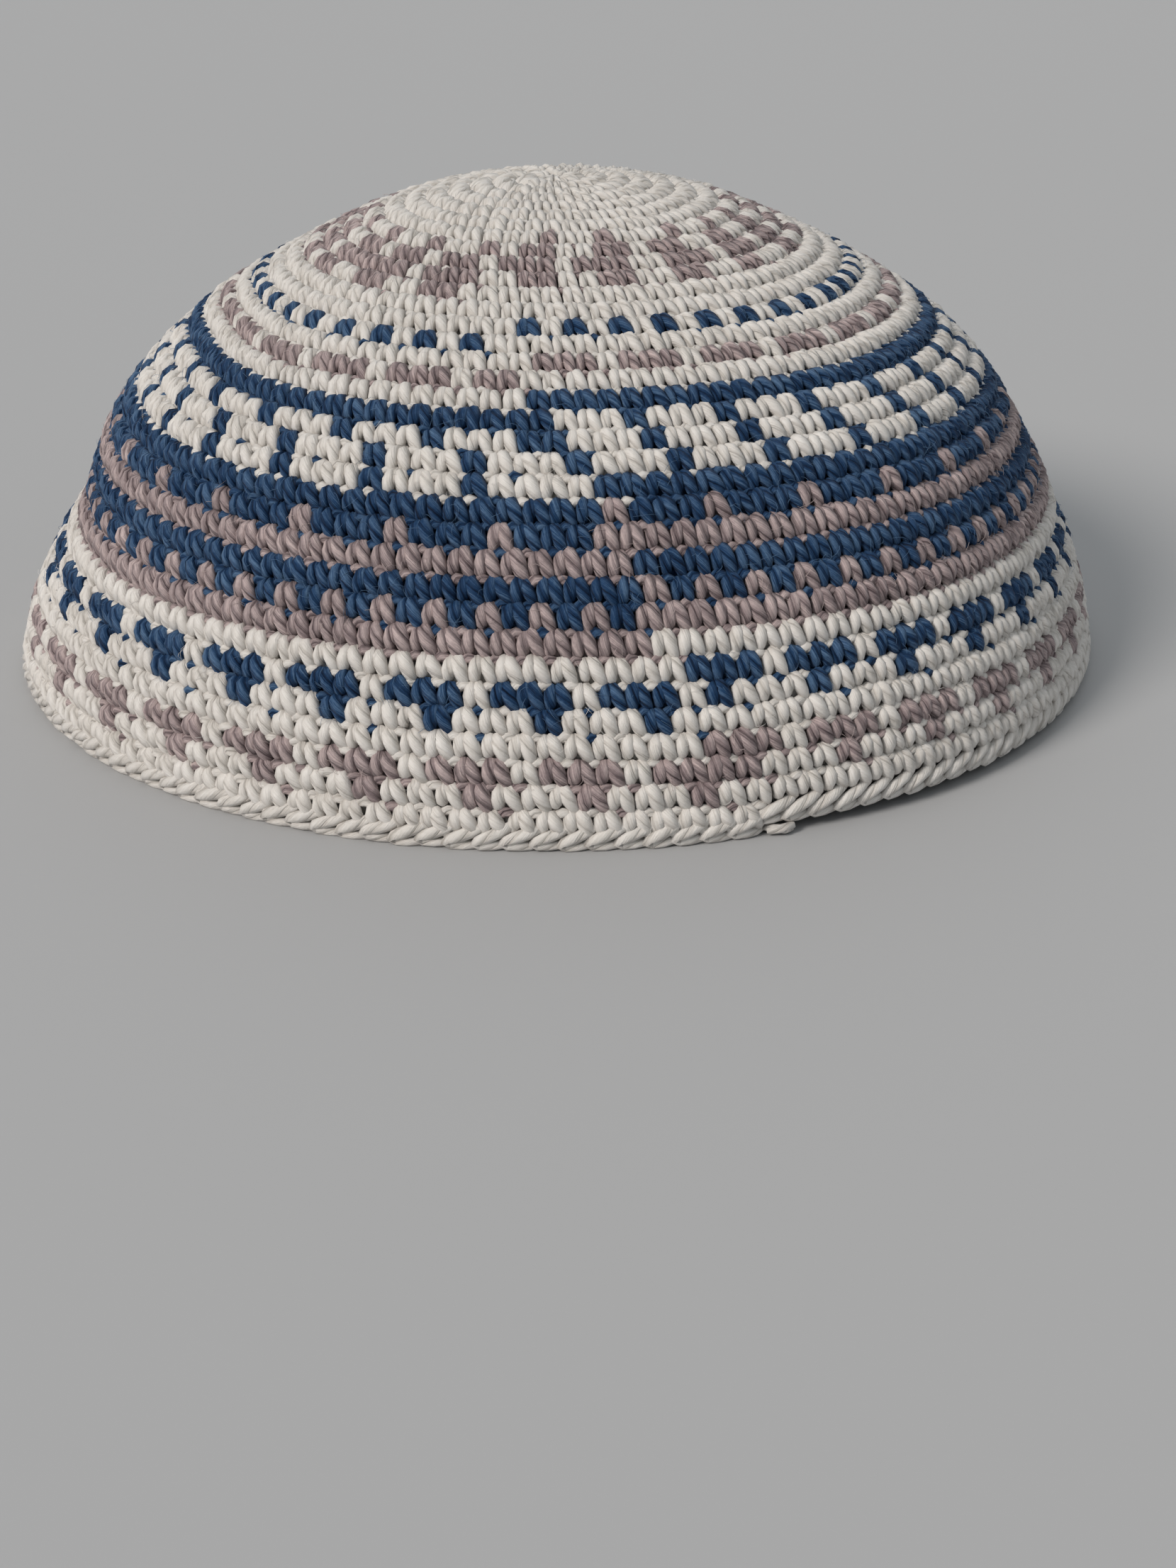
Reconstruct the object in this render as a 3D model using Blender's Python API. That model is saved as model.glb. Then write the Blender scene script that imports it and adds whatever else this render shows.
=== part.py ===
"""Kippah: a crocheted skullcap at its real size, in metres, +Z up, the wearer's side towards -Z.

The cap is one strip of crochet that winds round and round from the centre of the crown to the rim.
Each turn of the strip is a rounded ridge, so the outside is a spiral of ridges and grooves.
A slip-stitched edging closes the rim, and the end of its yarn is fastened off in a small knot.
The origin is the middle of the rim, on the surface that the cap rests on. The seam faces -Y.
"""

import math

import bmesh
import bpy
import numpy as np

# Driving sizes, in metres
RIM_DIAMETER = 0.130
CAP_HEIGHT = 0.056
WALL_THICKNESS = 0.0026
GROOVE_DEPTH = 0.0005
EDGE_HEIGHT = 0.0021
EDGE_ROUNDING = 0.0003
PIECE_GAP = 0.0003
# The rim's bulge on the -X side leaves the crown's centre this far to +X of the footprint's middle.
CROWN_OFFSET = 0.0008

# Seam, where each turn of the strip ends one turn lower than it began
TURNS = 33
CENTRE_RING_SHARE = 1.25
SEAM_AZIMUTH = math.radians(-71)
STEP_LENGTH_SHARE = 0.22
EDGE_STEP_SHARE = 0.45

# Knot that fastens the yarn's end, below the raised start of the edging
KNOT_LENGTH = 0.0036
KNOT_WIDTH = 0.0024

# Resolution of the faceted shape
SEGMENTS = 40
PROFILE_SAMPLES = 40
INNER_RINGS = 14
KNOT_SEGMENTS = 12
KNOT_RINGS = 8

# Outline of the cap from the crown's centre to the rim, ten equal steps along the cloth.
# radius is a share of the rim's radius, height a share of the cap's height.
OUTLINE = (
    # name, radius, height
    ("crown_centre", 0.000, 1.000),
    ("crown_top", 0.145, 0.989),
    ("crown_slope", 0.287, 0.953),
    ("leaf_band", 0.420, 0.890),
    ("upper_bands", 0.549, 0.815),
    ("shoulder", 0.672, 0.725),
    ("below_shoulder", 0.777, 0.611),
    ("middle_bands", 0.855, 0.470),
    ("side", 0.918, 0.319),
    ("lower_bands", 0.971, 0.163),
    ("rim", 1.000, 0.000),
)

# Dents and bulges of the cloth. Place and size along the cloth are shares of the length from
# centre to rim, widths round the cap are angles, depth inwards is a share of the rim's radius.
DENTS = (
    # name, azimuth in degrees, place, half width in degrees, half length, depth
    ("crown_corner", -163, 0.51, 20, 0.110, 0.036),
    ("side_pinch", 182, 0.76, 24, 0.060, 0.020),
    ("rim_bulge", 184, 1.00, 30, 0.140, -0.026),
    ("front_bulge", -50, 0.62, 24, 0.450, -0.032),
)

# Yarn colours, and the turns that show mainly blue or mauve, counted from the centre
WHITE_YARN = (0.78, 0.76, 0.73)
BLUE_YARN = (0.035, 0.075, 0.17)
MAUVE_YARN = (0.40, 0.33, 0.33)
YARN_ROUGHNESS = 0.85
COLOUR_BANDS = (
    # name, first turn, last turn, material
    ("leaf_band", 6, 9, "mauve_yarn"),
    ("upper_stripe", 14, 14, "mauve_yarn"),
    ("blue_line", 16, 16, "blue_yarn"),
    ("dark_band", 20, 21, "blue_yarn"),
    ("first_mauve_line", 22, 22, "mauve_yarn"),
    ("middle_band", 23, 24, "blue_yarn"),
    ("second_mauve_line", 25, 25, "mauve_yarn"),
    ("small_figures", 27, 27, "blue_yarn"),
    ("lower_figures", 30, 30, "mauve_yarn"),
)


def clear_scene():
    for item in list(bpy.data.objects):
        bpy.data.objects.remove(item)


def yarn_material(name, colour):
    material = bpy.data.materials.new(name)
    material.use_nodes = True
    shader = material.node_tree.nodes["Principled BSDF"]
    shader.inputs["Base Color"].default_value = (*colour, 1.0)
    shader.inputs["Roughness"].default_value = YARN_ROUGHNESS
    shader.inputs["Metallic"].default_value = 0.0
    material.diffuse_color = (*colour, 1.0)
    return material


def sample_outline():
    """The outline as (length along the cloth, radius, height), on a smooth curve through its sections."""
    sections = np.array([(radius * RIM_DIAMETER / 2, height * CAP_HEIGHT) for _, radius, height in OUTLINE])
    # The curve leaves the centre level, so the section before the centre mirrors the one after it.
    before = sections[1] * (-1, 1)
    after = 2 * sections[-1] - sections[-2]
    knots = np.vstack([before, sections, after])
    points = []
    for index in range(1, len(knots) - 2):
        a, b, c, d = knots[index - 1 : index + 3]
        for step in range(PROFILE_SAMPLES):
            t = step / PROFILE_SAMPLES
            points.append(
                (2 * b + (c - a) * t + (2 * a - 5 * b + 4 * c - d) * t**2 + (3 * b - a - 3 * c + d) * t**3) / 2
            )
    points.append(sections[-1])
    points = np.array(points)
    lengths = np.concatenate([[0], np.cumsum(np.hypot(*np.diff(points, axis=0).T))])
    return lengths, points[:, 0], points[:, 1]


LENGTHS, RADII, HEIGHTS = sample_outline()
CLOTH_LENGTH = LENGTHS[-1]
TURN_WIDTH = (CLOTH_LENGTH - EDGE_HEIGHT - PIECE_GAP) / (CENTRE_RING_SHARE + TURNS + 1)


def cloth_point(length, azimuth):
    """A point of the cap's outer surface, length along the cloth from the crown's centre."""
    radius = np.interp(length, LENGTHS, RADII)
    height = np.interp(length, LENGTHS, HEIGHTS)
    place = length / CLOTH_LENGTH
    for _, middle, dent_place, half_width, half_length, depth in DENTS:
        turn = (azimuth - math.radians(middle) + math.pi) % (2 * math.pi) - math.pi
        across = turn / math.radians(half_width)
        along = (place - dent_place) / half_length
        radius -= depth * RIM_DIAMETER / 2 * math.exp(-(across**2) - along**2)
    return np.array([radius * math.cos(azimuth), radius * math.sin(azimuth), height])


def cloth_normal(length, azimuth):
    """The outward direction there, from two short steps over the surface."""
    step = TURN_WIDTH / 4
    length = min(max(length, step), CLOTH_LENGTH - step)
    turn = step / (RIM_DIAMETER / 2)
    along = cloth_point(length + step, azimuth) - cloth_point(length - step, azimuth)
    across = cloth_point(length, azimuth + turn) - cloth_point(length, azimuth - turn)
    normal = np.cross(along, across)
    return normal / np.linalg.norm(normal)


def sunk_point(length, azimuth, depth):
    return cloth_point(length, azimuth) - depth * cloth_normal(length, azimuth)


def azimuth_of(turn_share):
    return SEAM_AZIMUTH + 2 * math.pi * turn_share


def step_up(turn_share):
    """How much of the seam's step is left: all of it at the seam, none past STEP_LENGTH_SHARE of a turn."""
    x = min(1, turn_share / STEP_LENGTH_SHARE)
    return 1 - x * x * (3 - 2 * x)


def body_end(turn_share):
    """Length along the cloth where the crochet ends and the edging begins."""
    return TURN_WIDTH * (CENTRE_RING_SHARE + TURNS + 1 - step_up(turn_share))


def strip_length(turns, turn_share):
    """Length along the cloth of a point that is turns from the centre, measured at the seam."""
    whole = CENTRE_RING_SHARE + TURNS + turn_share
    return (turns + turn_share) / whole * body_end(turn_share)


def add_object(name, points, faces, materials):
    mesh = bpy.data.meshes.new(name)
    mesh.from_pydata([tuple(point) for point in points], [], faces)
    for material in materials:
        mesh.materials.append(material)
    shape = bmesh.new()
    shape.from_mesh(mesh)
    bmesh.ops.recalc_face_normals(shape, faces=shape.faces)
    shape.to_mesh(mesh)
    shape.free()
    mesh.shade_smooth()
    item = bpy.data.objects.new(name, mesh)
    bpy.context.scene.collection.objects.link(item)
    return item


def rim_point(length, azimuth, inset):
    """A point moved level towards the axis, so that faces round the rim stay level from out to in."""
    point = cloth_point(length, azimuth)
    return point - inset * np.array([math.cos(azimuth), math.sin(azimuth), 0])


def crochet_body(materials):
    """The hollow dome: the spiral of ridges outside, a smooth inside, and a level end at the rim."""
    points = []
    faces = []

    def add_points(new):
        first = len(points)
        points.extend(new)
        return range(first, len(points))

    grooves = []
    ridges = []
    for index in range(SEGMENTS * TURNS):
        share = index % SEGMENTS / SEGMENTS
        turns = CENTRE_RING_SHARE + index // SEGMENTS
        grooves.append(sunk_point(strip_length(turns, share), azimuth_of(share), GROOVE_DEPTH))
        ridges.append(cloth_point(strip_length(turns + 0.5, share), azimuth_of(share)))
    ridges.append(cloth_point(strip_length(CENTRE_RING_SHARE + TURNS + 0.5, 0), azimuth_of(0)))
    shares = [step / SEGMENTS for step in range(SEGMENTS + 1)]
    for share in shares:
        grooves.append(rim_point(body_end(share), azimuth_of(share), GROOVE_DEPTH))
    groove = add_points(grooves)
    ridge = add_points(ridges)
    top = add_points([cloth_point(0, 0)])[0]

    last = SEGMENTS - 1
    faces += [(top, groove[step], groove[step + 1]) for step in range(last)]
    faces += [(top, groove[last], groove[0])]
    faces += [(groove[0], groove[last], ridge[0]), (ridge[0], groove[last], groove[SEGMENTS])]
    first_turn_face = len(faces)
    for index in range(SEGMENTS * TURNS):
        below = index + SEGMENTS
        faces.append((groove[index], groove[index + 1], ridge[index + 1], ridge[index]))
        faces.append((ridge[index], ridge[index + 1], groove[below + 1], groove[below]))
    after_turns = len(faces)

    inner_rings = []
    for ring in range(1, INNER_RINGS):
        length = body_end(1) * ring / INNER_RINGS
        inner_rings.append(
            add_points([sunk_point(length, azimuth_of(share), WALL_THICKNESS) for share in shares[:-1]])
        )
    inner_rim = add_points([rim_point(body_end(share), azimuth_of(share), WALL_THICKNESS) for share in shares])
    inner_top = add_points([cloth_point(0, 0) - (0, 0, WALL_THICKNESS)])[0]
    first_ring, last_ring = inner_rings[0], inner_rings[-1]
    for step in range(SEGMENTS):
        after = (step + 1) % SEGMENTS
        faces.append((inner_top, first_ring[step], first_ring[after]))
        for upper, lower in zip(inner_rings, inner_rings[1:]):
            faces.append((upper[step], upper[after], lower[after], lower[step]))
    for step in range(last):
        faces.append((last_ring[step], last_ring[step + 1], inner_rim[step + 1], inner_rim[step]))
    faces.append((last_ring[last], last_ring[0], inner_rim[last]))
    faces.append((last_ring[0], inner_rim[0], inner_rim[last]))
    faces.append((inner_rim[0], inner_rim[SEGMENTS], inner_rim[last]))

    # The level end of the cloth, and the upright end of the last turn at the seam
    rim = groove[SEGMENTS * TURNS :]
    for step in range(SEGMENTS):
        faces.append((rim[step], rim[step + 1], inner_rim[step + 1], inner_rim[step]))
    faces.append((rim[0], ridge[SEGMENTS * TURNS], rim[SEGMENTS], inner_rim[SEGMENTS], inner_rim[0]))

    names = list(materials)
    body = add_object("crochet_body", points, faces, materials.values())
    for _, first, final, name in COLOUR_BANDS:
        start = first_turn_face + 2 * SEGMENTS * first
        end = min(after_turns, first_turn_face + 2 * SEGMENTS * (final + 1))
        for face in body.data.polygons[start:end]:
            face.material_index = names.index(name)
    return body


def edge_round(material):
    """The slip-stitched edging: a strip under the crochet that starts and ends at the seam."""
    start_share = PIECE_GAP / (math.pi * RIM_DIAMETER)
    points = []
    for step in range(SEGMENTS + 1):
        share = start_share + (1 - start_share) * step / SEGMENTS
        azimuth = azimuth_of(share)
        upper = body_end(share) + PIECE_GAP
        lower = CLOTH_LENGTH - EDGE_STEP_SHARE * TURN_WIDTH * step_up(share)
        middle = (upper + lower) / 2
        points += [
            rim_point(upper, azimuth, GROOVE_DEPTH),
            rim_point(middle, azimuth, 0),
            rim_point(lower, azimuth, EDGE_ROUNDING),
            rim_point(lower, azimuth, WALL_THICKNESS - EDGE_ROUNDING),
            rim_point(middle, azimuth, WALL_THICKNESS),
            rim_point(upper, azimuth, WALL_THICKNESS - EDGE_ROUNDING),
        ]
    corners = 6
    faces = [tuple(range(corners)), tuple(range(corners * SEGMENTS, corners * (SEGMENTS + 1)))]
    for step in range(SEGMENTS):
        here, there = corners * step, corners * (step + 1)
        for corner in range(corners):
            following = (corner + 1) % corners
            faces.append((here + corner, there + corner, there + following, here + following))
    return add_object("edge_round", points, faces, [material])


def end_knot(material):
    """The small knot at the seam, on the resting surface below the raised start of the edging."""
    height = EDGE_STEP_SHARE * TURN_WIDTH - PIECE_GAP
    share = (KNOT_LENGTH / 2 + PIECE_GAP) / (math.pi * RIM_DIAMETER)
    middle = rim_point(CLOTH_LENGTH, azimuth_of(share), WALL_THICKNESS / 2)
    shape = bmesh.new()
    bmesh.ops.create_uvsphere(shape, u_segments=KNOT_SEGMENTS, v_segments=KNOT_RINGS, radius=0.5)
    bmesh.ops.scale(shape, vec=(KNOT_WIDTH, KNOT_LENGTH, height), verts=shape.verts)
    mesh = bpy.data.meshes.new("end_knot")
    shape.to_mesh(mesh)
    shape.free()
    mesh.materials.append(material)
    mesh.shade_smooth()
    knot = bpy.data.objects.new("end_knot", mesh)
    knot.location = (middle[0], middle[1], height / 2)
    knot.rotation_euler = (0, 0, azimuth_of(share))
    bpy.context.scene.collection.objects.link(knot)
    return knot


def build():
    clear_scene()
    white = yarn_material("white_yarn", WHITE_YARN)
    materials = {
        "white_yarn": white,
        "blue_yarn": yarn_material("blue_yarn", BLUE_YARN),
        "mauve_yarn": yarn_material("mauve_yarn", MAUVE_YARN),
    }
    cap = bpy.data.objects.new("kippah", None)
    cap.location = (CROWN_OFFSET, 0, 0)
    bpy.context.scene.collection.objects.link(cap)
    for piece in (crochet_body(materials), edge_round(white), end_knot(white)):
        piece.parent = cap


build()
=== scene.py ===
"""The kippah's finish: every stitch of the crochet as yarn, laid on the cap's own surface.

Lengths are in millimetres inside the stitch functions and in metres in the scene. A place on the
cap is given by its angle along the spiral, in degrees from the start of the edging, and by its
place across the strip, in turns from the centre of the crown.
"""

import math

import bpy
import numpy as np
from mathutils import Matrix, Vector


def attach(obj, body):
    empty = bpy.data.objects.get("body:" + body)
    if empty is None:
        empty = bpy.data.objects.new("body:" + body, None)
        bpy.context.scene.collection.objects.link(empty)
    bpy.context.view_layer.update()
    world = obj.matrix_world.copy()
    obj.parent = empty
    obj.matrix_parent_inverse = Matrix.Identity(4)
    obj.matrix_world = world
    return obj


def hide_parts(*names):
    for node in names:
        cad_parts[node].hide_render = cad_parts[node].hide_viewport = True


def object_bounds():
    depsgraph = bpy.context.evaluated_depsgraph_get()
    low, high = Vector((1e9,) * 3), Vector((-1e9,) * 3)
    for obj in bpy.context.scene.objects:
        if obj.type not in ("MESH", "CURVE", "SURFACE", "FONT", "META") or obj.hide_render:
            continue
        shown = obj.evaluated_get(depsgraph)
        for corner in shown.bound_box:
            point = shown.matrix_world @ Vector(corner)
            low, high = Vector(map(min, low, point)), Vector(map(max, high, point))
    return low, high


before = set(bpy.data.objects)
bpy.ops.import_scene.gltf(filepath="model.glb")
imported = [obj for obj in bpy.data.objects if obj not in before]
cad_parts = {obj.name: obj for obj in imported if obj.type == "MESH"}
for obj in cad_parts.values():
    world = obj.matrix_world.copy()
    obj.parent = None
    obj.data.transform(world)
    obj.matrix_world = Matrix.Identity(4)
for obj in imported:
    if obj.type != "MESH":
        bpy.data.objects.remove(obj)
CAD_BOX = [list(corner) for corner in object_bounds()]

# The cap's surface, as the solids have it
MM = 0.001
RIM_RADIUS = 65.0
CAP_HEIGHT = 56.0
EDGE_HEIGHT = 2.1
EDGE_GAP = 0.3
CROWN_OFFSET = 0.8
TURNS = 33
CENTRE_RING_SHARE = 1.25
WHOLE_TURNS = CENTRE_RING_SHARE + TURNS
SEAM_AZIMUTH = -71.0
STEP_LENGTH_SHARE = 0.22
EDGE_STEP_SHARE = 0.45
CURVE_SAMPLES = 40
# No point is nearer the centre than this, as an azimuth means nothing there
CENTRE_HOLE = 0.02

OUTLINE = (
    # name, radius as a share of the rim's, height as a share of the cap's
    ("crown_centre", 0.000, 1.000),
    ("crown_top", 0.145, 0.989),
    ("crown_slope", 0.287, 0.953),
    ("leaf_band", 0.420, 0.890),
    ("upper_bands", 0.549, 0.815),
    ("shoulder", 0.672, 0.725),
    ("below_shoulder", 0.777, 0.611),
    ("middle_bands", 0.855, 0.470),
    ("side", 0.918, 0.319),
    ("lower_bands", 0.971, 0.163),
    ("rim", 1.000, 0.000),
)

DENTS = (
    # name, azimuth in degrees, place, half width in degrees, half length, depth
    ("crown_corner", -163, 0.51, 20, 0.110, 0.036),
    ("side_pinch", 182, 0.76, 24, 0.060, 0.020),
    ("rim_bulge", 184, 1.00, 30, 0.140, -0.026),
    ("front_bulge", -50, 0.62, 24, 0.450, -0.032),
)

# Rounds of the crochet. Round 0 is the first all-blue one, round 17 the edging.
FIRST_ROUND = -17
EDGE_ROUND = 17
# The seam drifts, so a round is a little more than a whole turn, in degrees
ROUND_ANGLE = 361.31
# How far the lower rounds sink, and how much more at the seam, in turns
SAG = 0.30
SEAM_SAG = 0.25
SEAM_SAG_RISE = 0.05
SAG_FIRST_TURN = 20.0
SAG_LAST_TURN = 30.0
# Stitches are a little wider apart on the -X side, by this many radians at most
ANGLE_WARP = 0.080
# Passes after which the even angle of a stitch no longer changes
UNWARP_PASSES = 30
STITCH_COUNTS = (
    # round, stitches in it; rounds between two of these have counts between theirs
    (FIRST_ROUND, 8),
    (-8, 76),
    (-4, 88),
    (-2, 107),
    (1, 116),
    (3, 116),
    (5, 125),
    (8, 133),
    (11, 139),
    (14, 139),
    (16, 138),
    (EDGE_ROUND, 138),
)
# The pattern. W is white, B blue and M mauve. A round that isn't listed is white.
CHART = (
    # round, stitches of one repeat from the seam on, start after the seam in stitches
    (-4, "BW", 0.60),
    (-2, "WMMM", -0.15),
    (0, "B", 0.0),
    (1, "WWWB", 0.75),
    (2, "BWWW", -0.15),
    (3, "BWWW", 0.35),
    (4, "B", 0.0),
    (5, "BMBB", -0.15),
    (6, "M", 0.0),
    (7, "B", 0.0),
    (8, "BM", -0.15),
    (9, "M", 0.0),
    (11, "BBBW", 0.70),
    (12, "WBWW", -0.15),
    (14, "MMMW", -0.45),
    (15, "MWWW", 0.15),
)
# Rounds whose first stitch was still worked in the colour of the round before
LATE_CHANGES = (4, 7)
# The leaf band: leaves at equal angles, the first at this azimuth, in mauve on white
LEAF_FIRST = -75.5
LEAF_COUNT = 19
LEAF_ROUNDS = (
    # round, stitches across, degrees from the leaf's middle to theirs
    (-10, 1, 3.0),
    (-9, 2, 1.0),
    (-8, 3, 0.0),
    (-7, 2, -0.5),
)
COLOURS = "WBM"

# One stitch, for a pitch and a row height of these sizes, outwards +z, towards the rim +y
PITCH = 2.7
ROW_HEIGHT = 2.6
LEFT_LEG = (
    # x, y, z, radius
    (-0.34, 0.12, -1.55, 0.60),
    (-0.42, 0.16, -0.98, 0.71),
    (-0.52, 0.50, -0.66, 0.76),
    (-0.63, 1.12, -0.66, 0.75),
    (-0.67, 1.74, -0.98, 0.65),
    (-0.60, 2.14, -1.52, 0.46),
)
RIGHT_LEG = (
    (0.22, 0.04, -1.55, 0.60),
    (0.27, 0.09, -0.96, 0.71),
    (0.36, 0.42, -0.62, 0.77),
    (0.58, 1.02, -0.56, 0.77),
    (0.84, 1.64, -0.72, 0.69),
    (1.06, 2.20, -1.06, 0.58),
    (1.18, 2.58, -1.58, 0.42),
)
# The loop in front between two stitches
FRONT_LOOP = (
    (0.50, 0.50, -1.50, 0.42),
    (0.88, 0.12, -1.03, 0.56),
    (1.32, -0.10, -0.88, 0.61),
    (1.78, 0.04, -0.96, 0.56),
    (2.15, 0.42, -1.45, 0.42),
)
# Millimetres from the end of the crochet to the edging's yarn
EDGE_START = 0.12
# One slip stitch of the edging: its slanting arm, then the strand that returns below
EDGE_LOOP = (
    (2.30, -0.62, -1.35, 0.48),
    (1.80, -0.36, -0.86, 0.58),
    (0.85, 0.12, -0.56, 0.64),
    (-0.30, 0.60, -0.50, 0.65),
    (-1.15, 0.98, -0.58, 0.60),
    (-1.52, 1.30, -0.80, 0.54),
    (-1.05, 1.56, -0.90, 0.54),
    (0.00, 1.56, -0.94, 0.54),
    (1.05, 1.48, -1.15, 0.50),
    (1.70, 1.36, -1.60, 0.42),
)
# How far to the right of its own stitch a front loop lies, in stitches
LOOP_LAG = 0.8
# Chance in a stitch's size as a share, in its turn in radians and in its place in millimetres
STITCH_SHAKE = (0.045, 0.07, 0.05)
EDGE_SHAKE = (0.03, 0.04, 0.04)
# The move outwards is this share of the one along the cloth
OUTWARD_SHARE = 0.7
# Corners round a tube, and how much closer together they are on its outward side
LEG_SIDES = 7
LOOP_SIDES = 6
OUTWARD_CROWDING = 0.045
# The drawn-up loop at the crown's centre, in millimetres
CENTRE_LOOP_TURNS = 2.5
CENTRE_LOOP_START = 0.2
CENTRE_LOOP_RADIUS = 2.7
CENTRE_LOOP_DEPTH = 0.75
CENTRE_LOOP_FALL = 0.1
CENTRE_LOOP_END_DEPTH = 1.8
CENTRE_LOOP_YARN = 0.6
CENTRE_LOOP_POINTS = 36


def sample_outline():
    """A smooth curve through the outline: lengths along the cloth, with their radii and heights."""
    sections = np.array([(radius * RIM_RADIUS, height * CAP_HEIGHT) for _, radius, height in OUTLINE])
    knots = np.vstack([sections[1] * (-1, 1), sections, 2 * sections[-1] - sections[-2]])
    points = []
    for index in range(1, len(knots) - 2):
        a, b, c, d = knots[index - 1 : index + 3]
        square, cube = 2 * a - 5 * b + 4 * c - d, 3 * b - a - 3 * c + d
        for t in np.arange(CURVE_SAMPLES) / CURVE_SAMPLES:
            points.append((2 * b + (c - a) * t + square * t**2 + cube * t**3) / 2)
    points.append(sections[-1])
    points = np.array(points)
    lengths = np.concatenate([[0], np.cumsum(np.hypot(*np.diff(points, axis=0).T))])
    return lengths, points[:, 0], points[:, 1]


LENGTHS, RADII, HEIGHTS = sample_outline()
CLOTH_LENGTH = LENGTHS[-1]
TURN_WIDTH = (CLOTH_LENGTH - EDGE_HEIGHT - EDGE_GAP) / (WHOLE_TURNS + 1)


def cloth_points(lengths, azimuths):
    """Points of the outer surface in mm, by length from the crown's centre and azimuth in radians."""
    radii = np.interp(lengths, LENGTHS, RADII)
    heights = np.interp(lengths, LENGTHS, HEIGHTS)
    for _, middle, place, half_width, half_length, depth in DENTS:
        turn = (azimuths - math.radians(middle) + math.pi) % (2 * math.pi) - math.pi
        across = turn / math.radians(half_width)
        along = (lengths / CLOTH_LENGTH - place) / half_length
        radii = radii - depth * RIM_RADIUS * np.exp(-(across**2) - along**2)
    return np.stack([radii * np.cos(azimuths), radii * np.sin(azimuths), heights], -1)


def cloth_normals(lengths, azimuths):
    step = TURN_WIDTH / 4
    middle = np.clip(lengths, step, CLOTH_LENGTH - step)
    turn = step / RIM_RADIUS
    along = cloth_points(middle + step, azimuths) - cloth_points(middle - step, azimuths)
    across = cloth_points(middle, azimuths + turn) - cloth_points(middle, azimuths - turn)
    normals = np.cross(along, across)
    return normals / np.linalg.norm(normals, axis=-1, keepdims=True)


def step_up(turn_shares):
    """1 where a turn starts at the seam, easing to 0 over the step's length."""
    x = np.minimum(1, turn_shares / STEP_LENGTH_SHARE)
    return 1 - x * x * (3 - 2 * x)


def body_end(turn_shares):
    """Length along the cloth at which the body ends, by the share of a turn from the seam."""
    return TURN_WIDTH * (WHOLE_TURNS + 1 - step_up(turn_shares))


def sag(turns, shares):
    """The lower rounds are worked a little looser, so they lie this part of a turn nearer the rim."""
    x = np.clip((turns - SAG_FIRST_TURN) / (SAG_LAST_TURN - SAG_FIRST_TURN), 0, 1)
    before_seam = np.maximum(0, 1 - (1 - shares) / SEAM_SAG_RISE)
    return x * x * (3 - 2 * x) * (SAG + SEAM_SAG * np.maximum(step_up(shares), before_seam))


def place_on_cap(angles, turns, heights):
    """World points in metres, from angles in degrees, turns from the centre and heights in mm."""
    shares = (angles / 360) % 1.0
    lengths = (turns + sag(turns, shares)) / (WHOLE_TURNS + shares) * body_end(shares)
    azimuths = np.radians(SEAM_AZIMUTH + angles)
    lengths = np.maximum(lengths, CENTRE_HOLE)
    points = cloth_points(lengths, azimuths) + heights[..., None] * cloth_normals(lengths, azimuths)
    return (points + (CROWN_OFFSET, 0, 0)) * MM


def place_on_edge(angles, drops, heights):
    """World points on the edging, drops in mm towards the rim from EDGE_GAP above its upper side."""
    shares = np.clip(angles / 360, 0, 1)
    ends = CLOTH_LENGTH - EDGE_STEP_SHARE * TURN_WIDTH * step_up(shares)
    lengths = ends - EDGE_HEIGHT - EDGE_GAP + drops
    azimuths = np.radians(SEAM_AZIMUTH + angles)
    points = cloth_points(lengths, azimuths) + heights[..., None] * cloth_normals(lengths, azimuths)
    # The yarn is pressed flat where it rests
    points[..., 2] = np.maximum(points[..., 2], 0)
    return (points + (CROWN_OFFSET, 0, 0)) * MM


def unwarped(angle):
    """The evenly spaced angle that warped() turns into this one."""
    seam = math.radians(SEAM_AZIMUTH)
    even = angle
    for _ in range(UNWARP_PASSES):
        even = angle + math.degrees(ANGLE_WARP * (math.sin(math.radians(even) + seam) - math.sin(seam)))
    return even


def warped(even):
    """Evenly spaced angles moved so that stitches are wider apart on the -X side."""
    seam = math.radians(SEAM_AZIMUTH)
    return even - np.degrees(ANGLE_WARP * (np.sin(np.radians(even) + seam) - math.sin(seam)))


def stitch_count(number):
    rounds, counts = zip(*STITCH_COUNTS)
    return int(round(np.interp(number, rounds, counts)))


def leaf_stitches(number, placed):
    """Which stitches of a round are in a leaf: the few nearest to each leaf's middle."""
    inside_leaf = np.zeros(len(placed), bool)
    for leaf_round, across, offset in LEAF_ROUNDS:
        if leaf_round != number:
            continue
        for leaf in range(LEAF_COUNT):
            middle = LEAF_FIRST - SEAM_AZIMUTH + offset + leaf * 360 / LEAF_COUNT
            apart = np.abs((placed - middle + 180) % 360 - 180)
            inside_leaf[np.argsort(apart, kind="stable")[:across]] = True
    return inside_leaf


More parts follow.
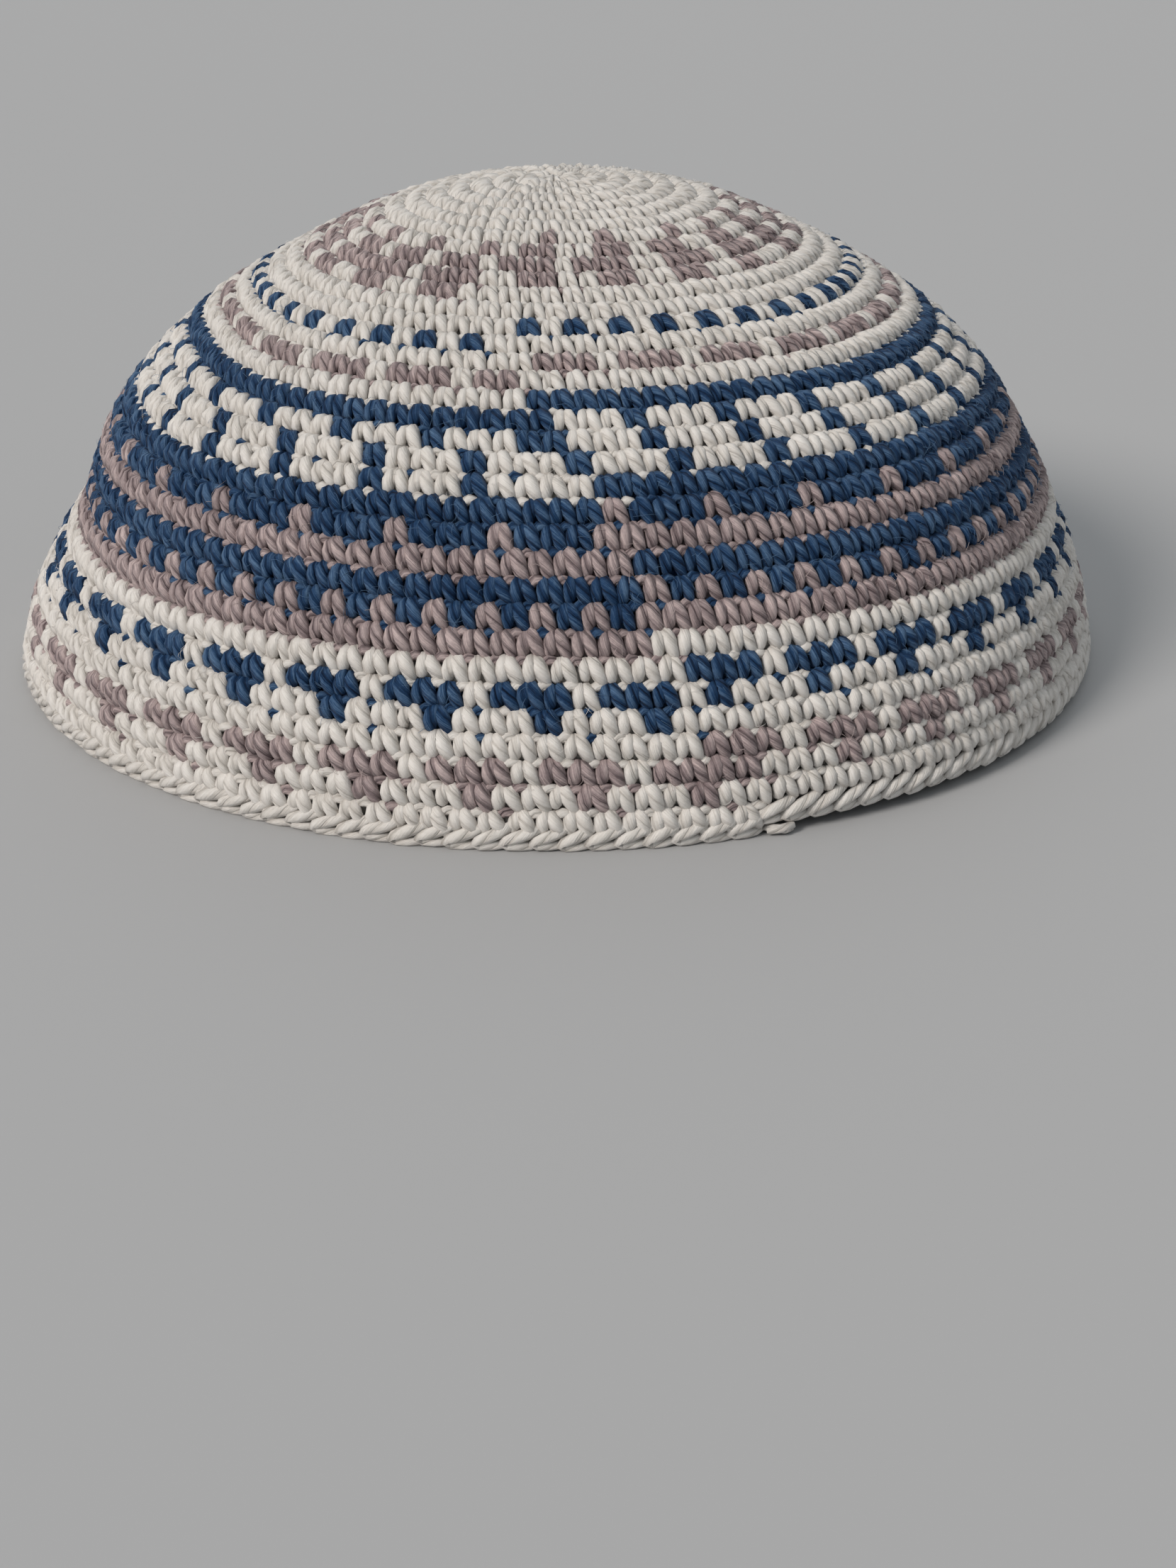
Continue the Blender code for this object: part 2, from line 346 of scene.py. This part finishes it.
def lay_out_rounds():
    """Every stitch of the body in the order it was worked: its angle, pitch in degrees and colour."""
    chart = {number: (repeat, start) for number, repeat, start in CHART}
    starts = {}
    for number in range(FIRST_ROUND, EDGE_ROUND + 1):
        pitch = 360 / stitch_count(number)
        shift = chart.get(number, ("W", 0.0))[1] * pitch
        starts[number] = unwarped(-ROUND_ANGLE * (EDGE_ROUND - number) + shift)
    angles, pitches, colours, rounds = [], [], [], []
    for number in range(FIRST_ROUND, EDGE_ROUND):
        count = stitch_count(number)
        width = (starts[number + 1] - starts[number]) / count
        even = starts[number] + width * (np.arange(count) + 0.5)
        placed = warped(even)
        repeat = chart.get(number, ("W", 0.0))[0]
        leaves = leaf_stitches(number, placed)
        for index, angle in enumerate(placed):
            colour = "M" if leaves[index] else repeat[index % len(repeat)]
            if index == 0 and number in LATE_CHANGES:
                colour = colours[-1]
            angles.append(angle)
            pitches.append(warped(even[index] + width / 2) - warped(even[index] - width / 2))
            colours.append(colour)
            rounds.append(number)
    colours = np.array([COLOURS.index(colour) for colour in colours])
    return np.array(angles), np.array(pitches), colours, np.array(rounds)


def corner_turns(sides):
    """Turns round a tube for its corners, the first one outward and the others crowded towards it."""
    even = np.arange(sides) / sides
    return (even + 0.25 - OUTWARD_CROWDING * np.sin(2 * math.pi * even)) % 1.0


def tube(path, sides):
    """A closed tube through the path: points, faces, and each face corner's length and turn."""
    path = np.array(path)
    centres, radii = path[:, :3], path[:, 3]
    tangents = np.gradient(centres, axis=0)
    tangents /= np.linalg.norm(tangents, axis=1, keepdims=True)
    outward = np.array([0.0, 0.0, 1.0])
    points, coordinates = [], []
    lengths = np.concatenate([[0], np.cumsum(np.linalg.norm(np.diff(centres, axis=0), axis=1))])
    side = np.cross(tangents[len(path) // 2], outward)
    turns = corner_turns(sides)
    wraps = [0] + [int(turn < turns[0]) for turn in turns[1:]] + [1]
    for centre, tangent, radius, length in zip(centres, tangents, radii, lengths):
        side = side - tangent * side.dot(tangent)
        side /= np.linalg.norm(side)
        up = np.cross(side, tangent)
        for turn in turns:
            bearing = 2 * math.pi * turn
            points.append(centre + radius * (math.cos(bearing) * side + math.sin(bearing) * up))
            coordinates.append((length, turn))
    faces, corners = [], []
    rings = len(path)
    for ring in range(rings - 1):
        for index in range(sides):
            after = (index + 1) % sides
            here, there = ring * sides, (ring + 1) * sides
            face = (here + index, here + after, there + after, there + index)
            faces.append(face)
            for vertex, place in zip(face, (0, 1, 1, 0)):
                along, around = coordinates[vertex]
                corners.append((along, around + wraps[index + place]))
    faces.append(tuple(range(sides))[::-1])
    faces.append(tuple(range((rings - 1) * sides, rings * sides)))
    for face in faces[-2:]:
        for vertex in face:
            corners.append(coordinates[vertex])
    return np.array(points), faces, np.array(corners)


class Pile:
    """Copies of tubes gathered for one mesh, each face with its colour and yarn coordinates."""

    def __init__(self):
        self.points, self.loops, self.sizes, self.coordinates, self.materials = [], [], [], [], []
        self.count = 0

    def add(self, world, faces, corners, colours, chance):
        """world is (copies, points, 3). faces and corners are one copy's."""
        copies, size = world.shape[:2]
        loops = np.concatenate([np.array(face) for face in faces])
        sizes = np.array([len(face) for face in faces])
        starts = self.count + size * np.arange(copies)
        self.points.append(world.reshape(-1, 3))
        self.loops.append((starts[:, None] + loops[None, :]).ravel())
        self.sizes.append(np.tile(sizes, copies))
        marks = np.empty((copies, len(loops), 3))
        marks[:, :, :2] = corners[None]
        marks[:, :, 2] = chance[:, None]
        self.coordinates.append(marks.reshape(-1, 3))
        self.materials.append(np.repeat(colours, len(faces)))
        self.count += copies * size

    def mesh(self, name, materials):
        points = np.concatenate(self.points)
        loops = np.concatenate(self.loops)
        sizes = np.concatenate(self.sizes)
        mesh = bpy.data.meshes.new(name)
        mesh.vertices.add(len(points))
        mesh.vertices.foreach_set("co", points.astype(np.float32).ravel())
        mesh.loops.add(len(loops))
        mesh.loops.foreach_set("vertex_index", loops.astype(np.int32))
        mesh.polygons.add(len(sizes))
        mesh.polygons.foreach_set("loop_start", (np.cumsum(sizes) - sizes).astype(np.int32))
        for material in materials:
            mesh.materials.append(material)
        mesh.polygons.foreach_set("material_index", np.concatenate(self.materials).astype(np.int32))
        attribute = mesh.attributes.new("yarn", "FLOAT_VECTOR", "CORNER")
        attribute.data.foreach_set("vector", np.concatenate(self.coordinates).astype(np.float32).ravel())
        mesh.update(calc_edges=True)
        mesh.shade_smooth()
        item = bpy.data.objects.new(name, mesh)
        bpy.context.scene.collection.objects.link(item)
        return item


def shake(points, path, random, copies, amounts):
    """Copies of a stitch part, each a little bigger, turned and shifted by chance."""
    centre = np.array(path)[:, :3].mean(axis=0)
    moved = np.repeat((points - centre)[None], copies, axis=0)
    size, turn, shift = amounts
    moved = moved * (1 + size * random.standard_normal((copies, 1, 1)))
    angle = turn * random.standard_normal((copies, 1))
    x, y = moved[..., 0].copy(), moved[..., 1].copy()
    moved[..., 0] = x * np.cos(angle) - y * np.sin(angle)
    moved[..., 1] = x * np.sin(angle) + y * np.cos(angle)
    return moved + centre + shift * random.standard_normal((copies, 1, 3)) * (1, 1, OUTWARD_SHARE)


def place_stitches(local, angles, pitches, turns):
    """Local millimetres, scaled to each stitch's pitch, to world points."""
    pitch = pitches[:, None]
    spiral = angles[:, None] + local[..., 0] / PITCH * pitch
    across = turns[:, None] + (spiral - angles[:, None]) / 360 + local[..., 1] / ROW_HEIGHT
    return place_on_cap(spiral, across, local[..., 2])


def add_centre_ring(pile):
    """The drawn-up loop that the first stitches are worked into."""
    turns = np.linspace(0, CENTRE_LOOP_TURNS, CENTRE_LOOP_POINTS)
    reach = CENTRE_LOOP_START + (CENTRE_LOOP_RADIUS - CENTRE_LOOP_START) * turns / CENTRE_LOOP_TURNS
    sink = CENTRE_LOOP_DEPTH + CENTRE_LOOP_FALL * turns
    sink[-1] = CENTRE_LOOP_END_DEPTH
    bearings = 2 * math.pi * turns
    path = [
        (radius * math.cos(bearing), radius * math.sin(bearing), -depth, CENTRE_LOOP_YARN)
        for bearing, radius, depth in zip(bearings, reach, sink)
    ]
    points, faces, corners = tube(path, LEG_SIDES)
    world = (points + (CROWN_OFFSET, 0, CAP_HEIGHT)) * MM
    pile.add(world[None], faces, corners, np.zeros(1, int), np.array([0.5]))


def crochet(materials):
    """The body's stitches, one mesh for each zone, and where each stitch is."""
    random = np.random.default_rng(7)
    angles, pitches, colours, rounds = lay_out_rounds()
    turns = WHOLE_TURNS + angles / 360
    # The front loop to the right of a stitch belongs to the stitch below, one turn back
    below = angles - 360 - LOOP_LAG * pitches
    nearest = np.clip(np.searchsorted(angles, below), 1, len(angles) - 1)
    nearest -= (below - angles[nearest - 1]) < (angles[nearest] - below)
    loop_colours = np.where(below > angles[0], colours[nearest], 0)
    chances = random.random(len(angles))
    zones = (
        # name, first round, last round, sides of a leg's yarn
        ("crown_stitches", FIRST_ROUND, -5, LOOP_SIDES),
        ("shoulder_stitches", -4, 1, LEG_SIDES),
        ("upper_side_stitches", 2, 6, LEG_SIDES),
        ("lower_side_stitches", 7, 11, LEG_SIDES),
        ("rim_stitches", 12, EDGE_ROUND - 1, LEG_SIDES),
    )
    pieces = []
    for name, first, last, sides in zones:
        chosen = (rounds >= first) & (rounds <= last)
        pile = Pile()
        count = int(chosen.sum())
        if first == FIRST_ROUND:
            add_centre_ring(pile)
        for path, colour in ((LEFT_LEG, colours), (RIGHT_LEG, colours), (FRONT_LOOP, loop_colours)):
            sides = LOOP_SIDES if path is FRONT_LOOP else sides
            points, faces, corners = tube(path, sides)
            local = shake(points, path, random, count, STITCH_SHAKE)
            world = place_stitches(local, angles[chosen], pitches[chosen], turns[chosen])
            pile.add(world, faces, corners, colour[chosen], chances[chosen])
        pieces.append(pile.mesh(name, materials))
    return pieces, (angles, pitches, colours, rounds, turns)


def edging(material):
    """The slip-stitched round that closes the rim."""
    random = np.random.default_rng(11)
    count = stitch_count(EDGE_ROUND)
    angles = 360 * (np.arange(count) + 0.5) / count
    points, faces, corners = tube(EDGE_LOOP, LEG_SIDES)
    local = shake(points, EDGE_LOOP, random, count, EDGE_SHAKE)
    spiral = angles[:, None] + local[..., 0] / PITCH * 360 / count
    world = place_on_edge(spiral, local[..., 1] + EDGE_START, local[..., 2])
    pile = Pile()
    pile.add(world, faces, corners, np.zeros(count, int), random.random(count))
    return pile.mesh("edging_stitches", [material])


# The fastened-off end: along the rim, down from the edging, out, yarn's radius
KNOT_PATH = (
    (-1.55, 0.25, -1.60, 0.34),
    (-0.70, 0.22, -0.60, 0.44),
    (0.50, 0.46, -0.25, 0.46),
    (1.30, 0.55, -0.80, 0.44),
    (0.45, 0.52, -1.65, 0.40),
    (-0.75, 0.48, -1.45, 0.40),
    (-1.15, 0.42, -0.65, 0.44),
    (-0.10, 0.25, -0.05, 0.46),
    (1.35, 0.20, -0.50, 0.42),
    (1.70, 0.20, -1.50, 0.32),
)
# Degrees from the seam to its middle
KNOT_ANGLE = 1.85


def knot(material):
    """The end of the edging's yarn, fastened off under the raised start of the edging."""
    points, faces, corners = tube(KNOT_PATH, LEG_SIDES)
    angles = KNOT_ANGLE + points[:, 0] / (math.pi * 2 * RIM_RADIUS) * 360
    world = place_on_edge(angles, EDGE_GAP + EDGE_HEIGHT + points[:, 1], points[:, 2])
    pile = Pile()
    pile.add(world[None], faces, corners, np.zeros(1, int), np.array([0.3]))
    return pile.mesh("end_knot_yarn", [material])


# Stray fibres: thin arcs of cotton that leave the yarn and come back to it, in millimetres
FIBRE_COUNTS = (
    # yarn colour, fibres, shortest, longest
    ("W", 700, 0.9, 2.2),
    ("B", 1300, 1.0, 2.8),
    ("M", 800, 1.0, 2.6),
)
FIBRE_RADIUS = 0.018
FIBRE_FIRST_ROUND = -11
# Where on its stitch a fibre's middle is, along the round and towards the rim
FIBRE_ALONG = (-1.2, 1.2)
FIBRE_DOWN = (0.2, 2.4)
# Its middle is lifted off its rest, by this much times a share between these, and its ends sink
FIBRE_REST = -0.06
FIBRE_LIFT = 0.30
FIBRE_LIFT_SHARES = (0.3, 1.3)
FIBRE_SINK = 0.35
# Chance in its bend in radians, and in its rise and fall
FIBRE_BEND = 0.9
FIBRE_WAVE = 0.16
FIBRE_SEGMENTS = 4
FIBRE_SIDES = 3


def stray_fibres(stitches, materials):
    """Fine hairs that stand off the stitches, lying every way, as brushed cotton has them."""
    angles, pitches, colours, rounds, turns = stitches
    random = np.random.default_rng(23)
    pile = Pile()
    steps = np.linspace(0, 1, FIBRE_SEGMENTS + 1)
    path = [(step, 0, 0, FIBRE_RADIUS) for step in steps]
    points, faces, corners = tube(path, FIBRE_SIDES)
    for colour, count, shortest, longest in FIBRE_COUNTS:
        number = COLOURS.index(colour)
        hairy = np.flatnonzero((colours == number) & (rounds >= FIBRE_FIRST_ROUND))
        chosen = random.choice(hairy, count)
        length = random.uniform(shortest, longest, count)[:, None]
        heading = random.uniform(0, 2 * math.pi, count)[:, None]
        bend = random.normal(0, FIBRE_BEND, count)[:, None]
        wave = random.normal(0, FIBRE_WAVE, count)[:, None]
        lift = FIBRE_LIFT * random.uniform(*FIBRE_LIFT_SHARES, count)[:, None]
        x = random.uniform(*FIBRE_ALONG, count)[:, None]
        y = random.uniform(*FIBRE_DOWN, count)[:, None]
        along = points[None, :, 0]
        turned = heading + bend * (along - 0.5)
        local = np.empty((count, len(points), 3))
        local[..., 0] = x + length * (along - 0.5) * np.cos(turned) - points[:, 1] * np.sin(turned)
        local[..., 1] = y + length * (along - 0.5) * np.sin(turned) + points[:, 1] * np.cos(turned)
        arch = 1 - (2 * along - 1) ** 2
        local[..., 2] = FIBRE_REST + lift * arch - FIBRE_SINK * (1 - arch) + points[:, 2]
        local[..., 2] += wave * np.sin(2 * math.pi * along)
        world = place_stitches(local, angles[chosen], pitches[chosen], turns[chosen])
        pile.add(world, faces, corners, np.full(count, number), random.random(count))
    return pile.mesh("stray_fibres", materials)


# The inside of the fabric: a closed sheet, from one depth under the surface to the other, in
# millimetres, with cells along and across each stitch. Places and widths are shares of a turn.
SHEET_TOP = 1.5
SHEET_BOTTOM = 2.15
INNER_BUMP = 0.42
BAR_PLACE = 0.30
STRAND_PLACE = 0.75
STRAND_HEIGHT = 0.7
BUMP_WIDTH = 0.20
CELLS_ALONG = 4
CELLS_ACROSS = 3
# How far each stitch's chance, from 0 to 1, is from that of the stitch before
CHANCE_STEP = 0.618


def inside(stitches, materials):
    """The wrong side of the fabric, with a bar and a slanting strand for every stitch."""
    angles, pitches, colours = stitches[:3]
    edges = np.append(angles - pitches / 2, angles[-1] + pitches[-1] / 2)
    fractions = np.arange(CELLS_ALONG) / CELLS_ALONG
    spiral = (edges[:-1, None] + np.diff(edges)[:, None] * fractions).ravel()
    spiral = np.append(spiral, edges[-1])[:, None]
    phase = np.append(np.tile(fractions, len(angles)), 0.0)[:, None]
    stitch = np.append(np.repeat(np.arange(len(angles)), CELLS_ALONG), len(angles) - 1)
    rows = np.arange(CELLS_ACROSS + 1)[None, :] / CELLS_ACROSS
    start = WHOLE_TURNS + spiral / 360
    bar = np.exp(-(((rows - BAR_PLACE) / BUMP_WIDTH) ** 2))
    bar = bar * (0.62 + 0.38 * np.cos(2 * np.pi * (phase - 0.5)))
    strand = np.exp(-(((rows - STRAND_PLACE) / BUMP_WIDTH) ** 2))
    strand = strand * (0.5 + 0.5 * np.cos(2 * np.pi * (2 * phase - rows)))
    depth = SHEET_BOTTOM + INNER_BUMP * np.maximum(bar, STRAND_HEIGHT * strand)
    inner = place_on_cap(np.repeat(spiral, CELLS_ACROSS + 1, 1), start + rows, -depth)
    ends = np.array([[0.0, 1.0]])
    outer = place_on_cap(np.repeat(spiral, 2, 1), start + ends, np.full((len(spiral), 2), -SHEET_TOP))
    # Each column has the inner points, then the outer sheet's first and last
    points = np.concatenate([inner, outer], 1).reshape(-1, 3)
    per_column = CELLS_ACROSS + 3
    first, last = CELLS_ACROSS + 1, CELLS_ACROSS + 2
    faces = []
    for column in range(len(spiral) - 1):
        here, there = column * per_column, (column + 1) * per_column
        for row in range(CELLS_ACROSS):
            faces.append((here + row, here + row + 1, there + row + 1, there + row))
        faces.append((here + CELLS_ACROSS, here + last, there + last, there + CELLS_ACROSS))
        faces.append((here + last, here + first, there + first, there + last))
        faces.append((here + first, here, there, there + first))
    end = (len(spiral) - 1) * per_column
    faces.append((*range(CELLS_ACROSS + 1), last, first))
    faces.append((end + first, end + last, *range(end + CELLS_ACROSS, end - 1, -1)))
    loops = np.concatenate([np.array(face) for face in faces])
    column_of = loops // per_column
    row_of = np.minimum(loops % per_column, CELLS_ACROSS)
    marks = (phase[column_of, 0] * PITCH, row_of / CELLS_ACROSS, stitch[column_of] * CHANCE_STEP % 1)
    pile = Pile()
    pile.points.append(points)
    pile.loops.append(loops)
    pile.sizes.append(np.array([len(face) for face in faces]))
    pile.coordinates.append(np.stack(marks, -1))
    pile.materials.append(np.append(np.repeat(colours[stitch[:-1]], per_column), [0, 0]))
    return pile.mesh("inside_stitches", materials)


def node(tree, kind, x, y, **values):
    item = tree.nodes.new(kind)
    item.location = (x, y)
    for name, value in values.items():
        setattr(item, name, value)
    return item


def maths(tree, operation, x, y, first, second=None, third=None):
    item = node(tree, "ShaderNodeMath", x, y, operation=operation)
    for socket, value in zip(item.inputs, (first, second, third)):
        if value is None:
            continue
        if isinstance(value, (int, float)):
            socket.default_value = value
        else:
            tree.links.new(value, socket)
    return item.outputs[0]


def ramp(tree, value, stops, x, y):
    item = node(tree, "ShaderNodeValToRGB", x, y)
    while len(item.color_ramp.elements) < len(stops):
        item.color_ramp.elements.new(0.5)
    for element, (position, colour) in zip(item.color_ramp.elements, stops):
        element.position = position
        element.color = (*colour, 1)
    tree.links.new(value, item.inputs[0])
    return item.outputs[0]


def noise(tree, vector, x, y, scale, detail, roughness=0.5):
    item = node(tree, "ShaderNodeTexNoise", x, y)
    item.inputs["Scale"].default_value = scale
    item.inputs["Detail"].default_value = detail
    item.inputs["Roughness"].default_value = roughness
    tree.links.new(vector, item.inputs["Vector"])
    return item.outputs[0]


# Fibres: how fine the noise is round the yarn and along it, and what each part adds to the tone
FIBRES_ROUND = 4.6
FIBRES_ALONG = 0.55
# Stitches are this far apart in the noise, times their chance, so that no two look the same
NOISE_REACH = 61.0
PATCHES_PER_METRE = 70.0
FUZZ_PER_METRE = 3500.0
# The fibres' part of the tone is partly their own tone and partly painted shade between fibres and
# painted highlight along them
FIBRE_WEIGHT = 1.3
CHANCE_WEIGHT = 0.12
PATCH_WEIGHT = 0.30
FUZZ_WEIGHT = 0.20
TONE_SPREAD = 0.42
# The power that narrows the grooves between plies, and the height that has the middle tone
PLY_POWER = 0.7
PLY_MIDDLE = 0.65
# What each part adds to the bump
PLY_HEIGHT = 1.6
FIBRE_HEIGHT = 1.1
FUZZ_HEIGHT = 0.10


def yarn_material(name, colours, roughness, specular, sheen, plies, lay, relief, ply_shade_weight):
    """Twisted cotton: plies wind round the yarn and fibres follow them. Its colour has tones by chance,
    with painted shade in the grooves between plies and fibres and painted highlight on their tops.
    """
    material = bpy.data.materials.new(name)
    material.use_nodes = True
    tree = material.node_tree
    shader = tree.nodes["Principled BSDF"]
    shader.location = (1100, 0)
    tree.nodes["Material Output"].location = (1400, 0)
    yarn = node(tree, "ShaderNodeAttribute", -1700, 0, attribute_name="yarn")
    parts = node(tree, "ShaderNodeSeparateXYZ", -1500, 0)
    tree.links.new(yarn.outputs["Vector"], parts.inputs[0])
    along, around, chance = parts.outputs
    start = maths(tree, "ADD", -1500, -200, around, chance)
    turn = maths(tree, "MULTIPLY_ADD", -1300, 0, along, 1 / lay, start)
    angle = maths(tree, "MULTIPLY", -1100, 0, turn, 2 * math.pi)
    # The plies: round ridges with a narrow groove between
    wave = maths(tree, "SINE", -700, 200, maths(tree, "MULTIPLY", -900, 200, angle, plies / 2))
    ply = maths(tree, "POWER", -300, 200, maths(tree, "ABSOLUTE", -500, 200, wave), PLY_POWER)
    # The fibres: noise drawn out along the plies
    place = node(tree, "ShaderNodeCombineXYZ", -700, -100)
    for index, operation in enumerate(("COSINE", "SINE")):
        y = -50 - 100 * index
        part = maths(tree, "MULTIPLY", -900, y, maths(tree, operation, -1000, y, angle), FIBRES_ROUND)
        tree.links.new(part, place.inputs[index])
    length = maths(tree, "MULTIPLY", -1000, -250, along, FIBRES_ALONG)
    drawn = maths(tree, "MULTIPLY_ADD", -900, -250, chance, NOISE_REACH, length)
    tree.links.new(drawn, place.inputs[2])
    fibres = noise(tree, place.outputs[0], -500, -100, 1.0, 4.0, 0.68)
    spot = node(tree, "ShaderNodeTexCoord", -1500, -600)
    patches = noise(tree, spot.outputs["Object"], -1300, -600, PATCHES_PER_METRE, 2.0)
    fuzz = noise(tree, spot.outputs["Object"], -1300, -800, FUZZ_PER_METRE, 2.0)
    # The plies' ridges are painted lighter and their grooves darker: painted highlight on the ridges,
    # painted shade in the grooves
    tone = maths(tree, "MULTIPLY", -100, 100, ply, ply_shade_weight)
    tone = maths(tree, "MULTIPLY_ADD", 0, 0, fibres, FIBRE_WEIGHT, tone)
    tone = maths(tree, "MULTIPLY_ADD", 100, -100, chance, CHANCE_WEIGHT, tone)
    tone = maths(tree, "MULTIPLY_ADD", 200, -200, patches, PATCH_WEIGHT, tone)
    tone = maths(tree, "MULTIPLY_ADD", 300, -300, fuzz, FUZZ_WEIGHT, tone)
    # The parts other than the ply have their middle at 0.5
    middle = 0.5 * (FIBRE_WEIGHT + CHANCE_WEIGHT + PATCH_WEIGHT + FUZZ_WEIGHT)
    middle += PLY_MIDDLE * ply_shade_weight
    stops = [((middle + step * TONE_SPREAD) / 2, tint) for step, tint in zip((-1, 0, 1), colours)]
    colour = ramp(tree, maths(tree, "MULTIPLY", 400, -200, tone, 0.5), stops, 550, 0)
    tree.links.new(colour, shader.inputs["Base Color"])
    height = maths(tree, "MULTIPLY", -300, -400, ply, PLY_HEIGHT)
    height = maths(tree, "MULTIPLY_ADD", -100, -400, fibres, FIBRE_HEIGHT, height)
    height = maths(tree, "MULTIPLY_ADD", 100, -500, fuzz, FUZZ_HEIGHT, height)
    bump = node(tree, "ShaderNodeBump", 800, -400)
    bump.inputs["Strength"].default_value = 1.0
    bump.inputs["Distance"].default_value = relief * MM
    tree.links.new(height, bump.inputs["Height"])
    tree.links.new(bump.outputs[0], shader.inputs["Normal"])
    shader.inputs["Roughness"].default_value = roughness
    shader.inputs["Specular IOR Level"].default_value = specular
    shader.inputs["Sheen Weight"].default_value = sheen
    shader.inputs["Sheen Roughness"].default_value = 0.4
    return material


FLOOR_TONE = (0.435, 0.442, 0.450)


def floor_material():
    material = bpy.data.materials.new("pale_floor")
    material.use_nodes = True
    shader = material.node_tree.nodes["Principled BSDF"]
    shader.inputs["Base Color"].default_value = (*FLOOR_TONE, 1)
    shader.inputs["Roughness"].default_value = 0.7
    return material


# Camera, fitted to the photograph of 1659 x 2212 pixels. Its place is in metres.
IMAGE_HEIGHT = 2212
FOCAL_PIXELS = 3395
CAMERA_PLACE = (0.0071, -0.2831, 0.1070)
CAMERA_YAW = -0.0125
CAMERA_PITCH = 0.4264
CAMERA_ROLL = -0.01536
SENSOR = 36.0


def add_camera():
    data = bpy.data.cameras.new("camera")
    data.sensor_width = SENSOR
    data.sensor_fit = "AUTO"
    data.lens = SENSOR * FOCAL_PIXELS / IMAGE_HEIGHT
    data.clip_start = 0.01
    camera = bpy.data.objects.new("camera", data)
    camera.location = CAMERA_PLACE
    camera.rotation_mode = "XYZ"
    # Looks along +Y, down by the pitch, turned right by the yaw
    turn = Matrix.Rotation(-CAMERA_YAW, 3, "Z") @ Matrix.Rotation(math.pi / 2 - CAMERA_PITCH, 3, "X")
    turn = turn @ Matrix.Rotation(CAMERA_ROLL, 3, "Z")
    camera.rotation_euler = turn.to_euler()
    bpy.context.scene.collection.objects.link(camera)
    bpy.context.scene.camera = camera


LIGHTS = (
    # name, direction it comes from, strength, angle in degrees, colour
    ("key", (-0.60, -0.55, 0.62), 2.2, 20, (1.0, 0.93, 0.87)),
    ("fill", (0.80, -0.10, 0.60), 0.06, 50, (0.78, 0.92, 1.0)),
    ("back", (0.05, 0.75, 0.80), 0.28, 50, (0.94, 0.97, 1.0)),
)
# The sky is as bright as the floor looks, so that no horizon shows
SKY_COLOUR = (0.95, 0.98, 1.0)
SKY_STRENGTH = 0.395


def add_lights():
    for name, place, strength, angle, colour in LIGHTS:
        data = bpy.data.lights.new(name, "SUN")
        data.energy = strength
        data.angle = math.radians(angle)
        data.color = colour
        lamp = bpy.data.objects.new(name, data)
        lamp.location = place
        lamp.rotation_euler = (-Vector(place)).to_track_quat("-Z", "Y").to_euler()
        bpy.context.scene.collection.objects.link(lamp)
    world = bpy.data.worlds.new("studio")
    world.use_nodes = True
    background = world.node_tree.nodes["Background"]
    background.inputs["Color"].default_value = (*SKY_COLOUR, 1)
    background.inputs["Strength"].default_value = SKY_STRENGTH
    bpy.context.scene.world = world
    bpy.context.scene.view_settings.view_transform = "Standard"


# Metres, so that its edge is far away in every view
FLOOR_SIZE = 400.0


def add_floor():
    bpy.ops.mesh.primitive_plane_add(size=FLOOR_SIZE, location=(0, 0, CAD_BOX[0][2]))
    floor = bpy.context.object
    floor.name = "floor"
    floor.data.materials.append(floor_material())


# Each yarn's dark, middle and light tone. The dark and light ones serve as painted shade in the grooves
# and painted highlight on the tops, as well as for tones by chance.
WHITE = ((0.50, 0.47, 0.43), (0.73, 0.70, 0.66), (0.84, 0.82, 0.79))
BLUE = ((0.0015, 0.008, 0.028), (0.016, 0.052, 0.130), (0.115, 0.205, 0.340))
MAUVE = ((0.095, 0.066, 0.072), (0.330, 0.262, 0.266), (0.700, 0.575, 0.560))
# name, tones, roughness, specular, sheen, plies, mm in a turn of them, relief in mm, weight of the
# plies' painted shade and highlight in the colour
white = yarn_material("white_cotton", WHITE, 0.42, 0.45, 0.15, 2, 5.5, 0.15, 0.50)
blue = yarn_material("blue_cotton", BLUE, 0.50, 0.12, 0.03, 3, 5.5, 0.20, 0.45)
mauve = yarn_material("mauve_cotton", MAUVE, 0.50, 0.30, 0.08, 3, 5.5, 0.20, 0.45)
yarns = [white, blue, mauve]
pieces, stitches = crochet(yarns)
pieces.append(inside(stitches, yarns))
# The hairs are paler than the yarn, as light passes through them
fuzz = [
    yarn_material(name, (tint, tint, tint), 0.6, 0.2, 0.1, 2, 9.0, 0.01, 0.35)
    for name, tint in (
        ("white_fuzz", (0.84, 0.82, 0.79)),
        ("blue_fuzz", (0.11, 0.21, 0.36)),
        ("mauve_fuzz", (0.62, 0.52, 0.50)),
    )
]
pieces.append(stray_fibres(stitches, fuzz))
for piece in pieces:
    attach(piece, "root")
    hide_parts("crochet_body")
for piece, body in ((edging(white), "edge_round"), (knot(white), "end_knot")):
    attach(piece, "root")
    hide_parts(body)
add_floor()
add_camera()
add_lights()
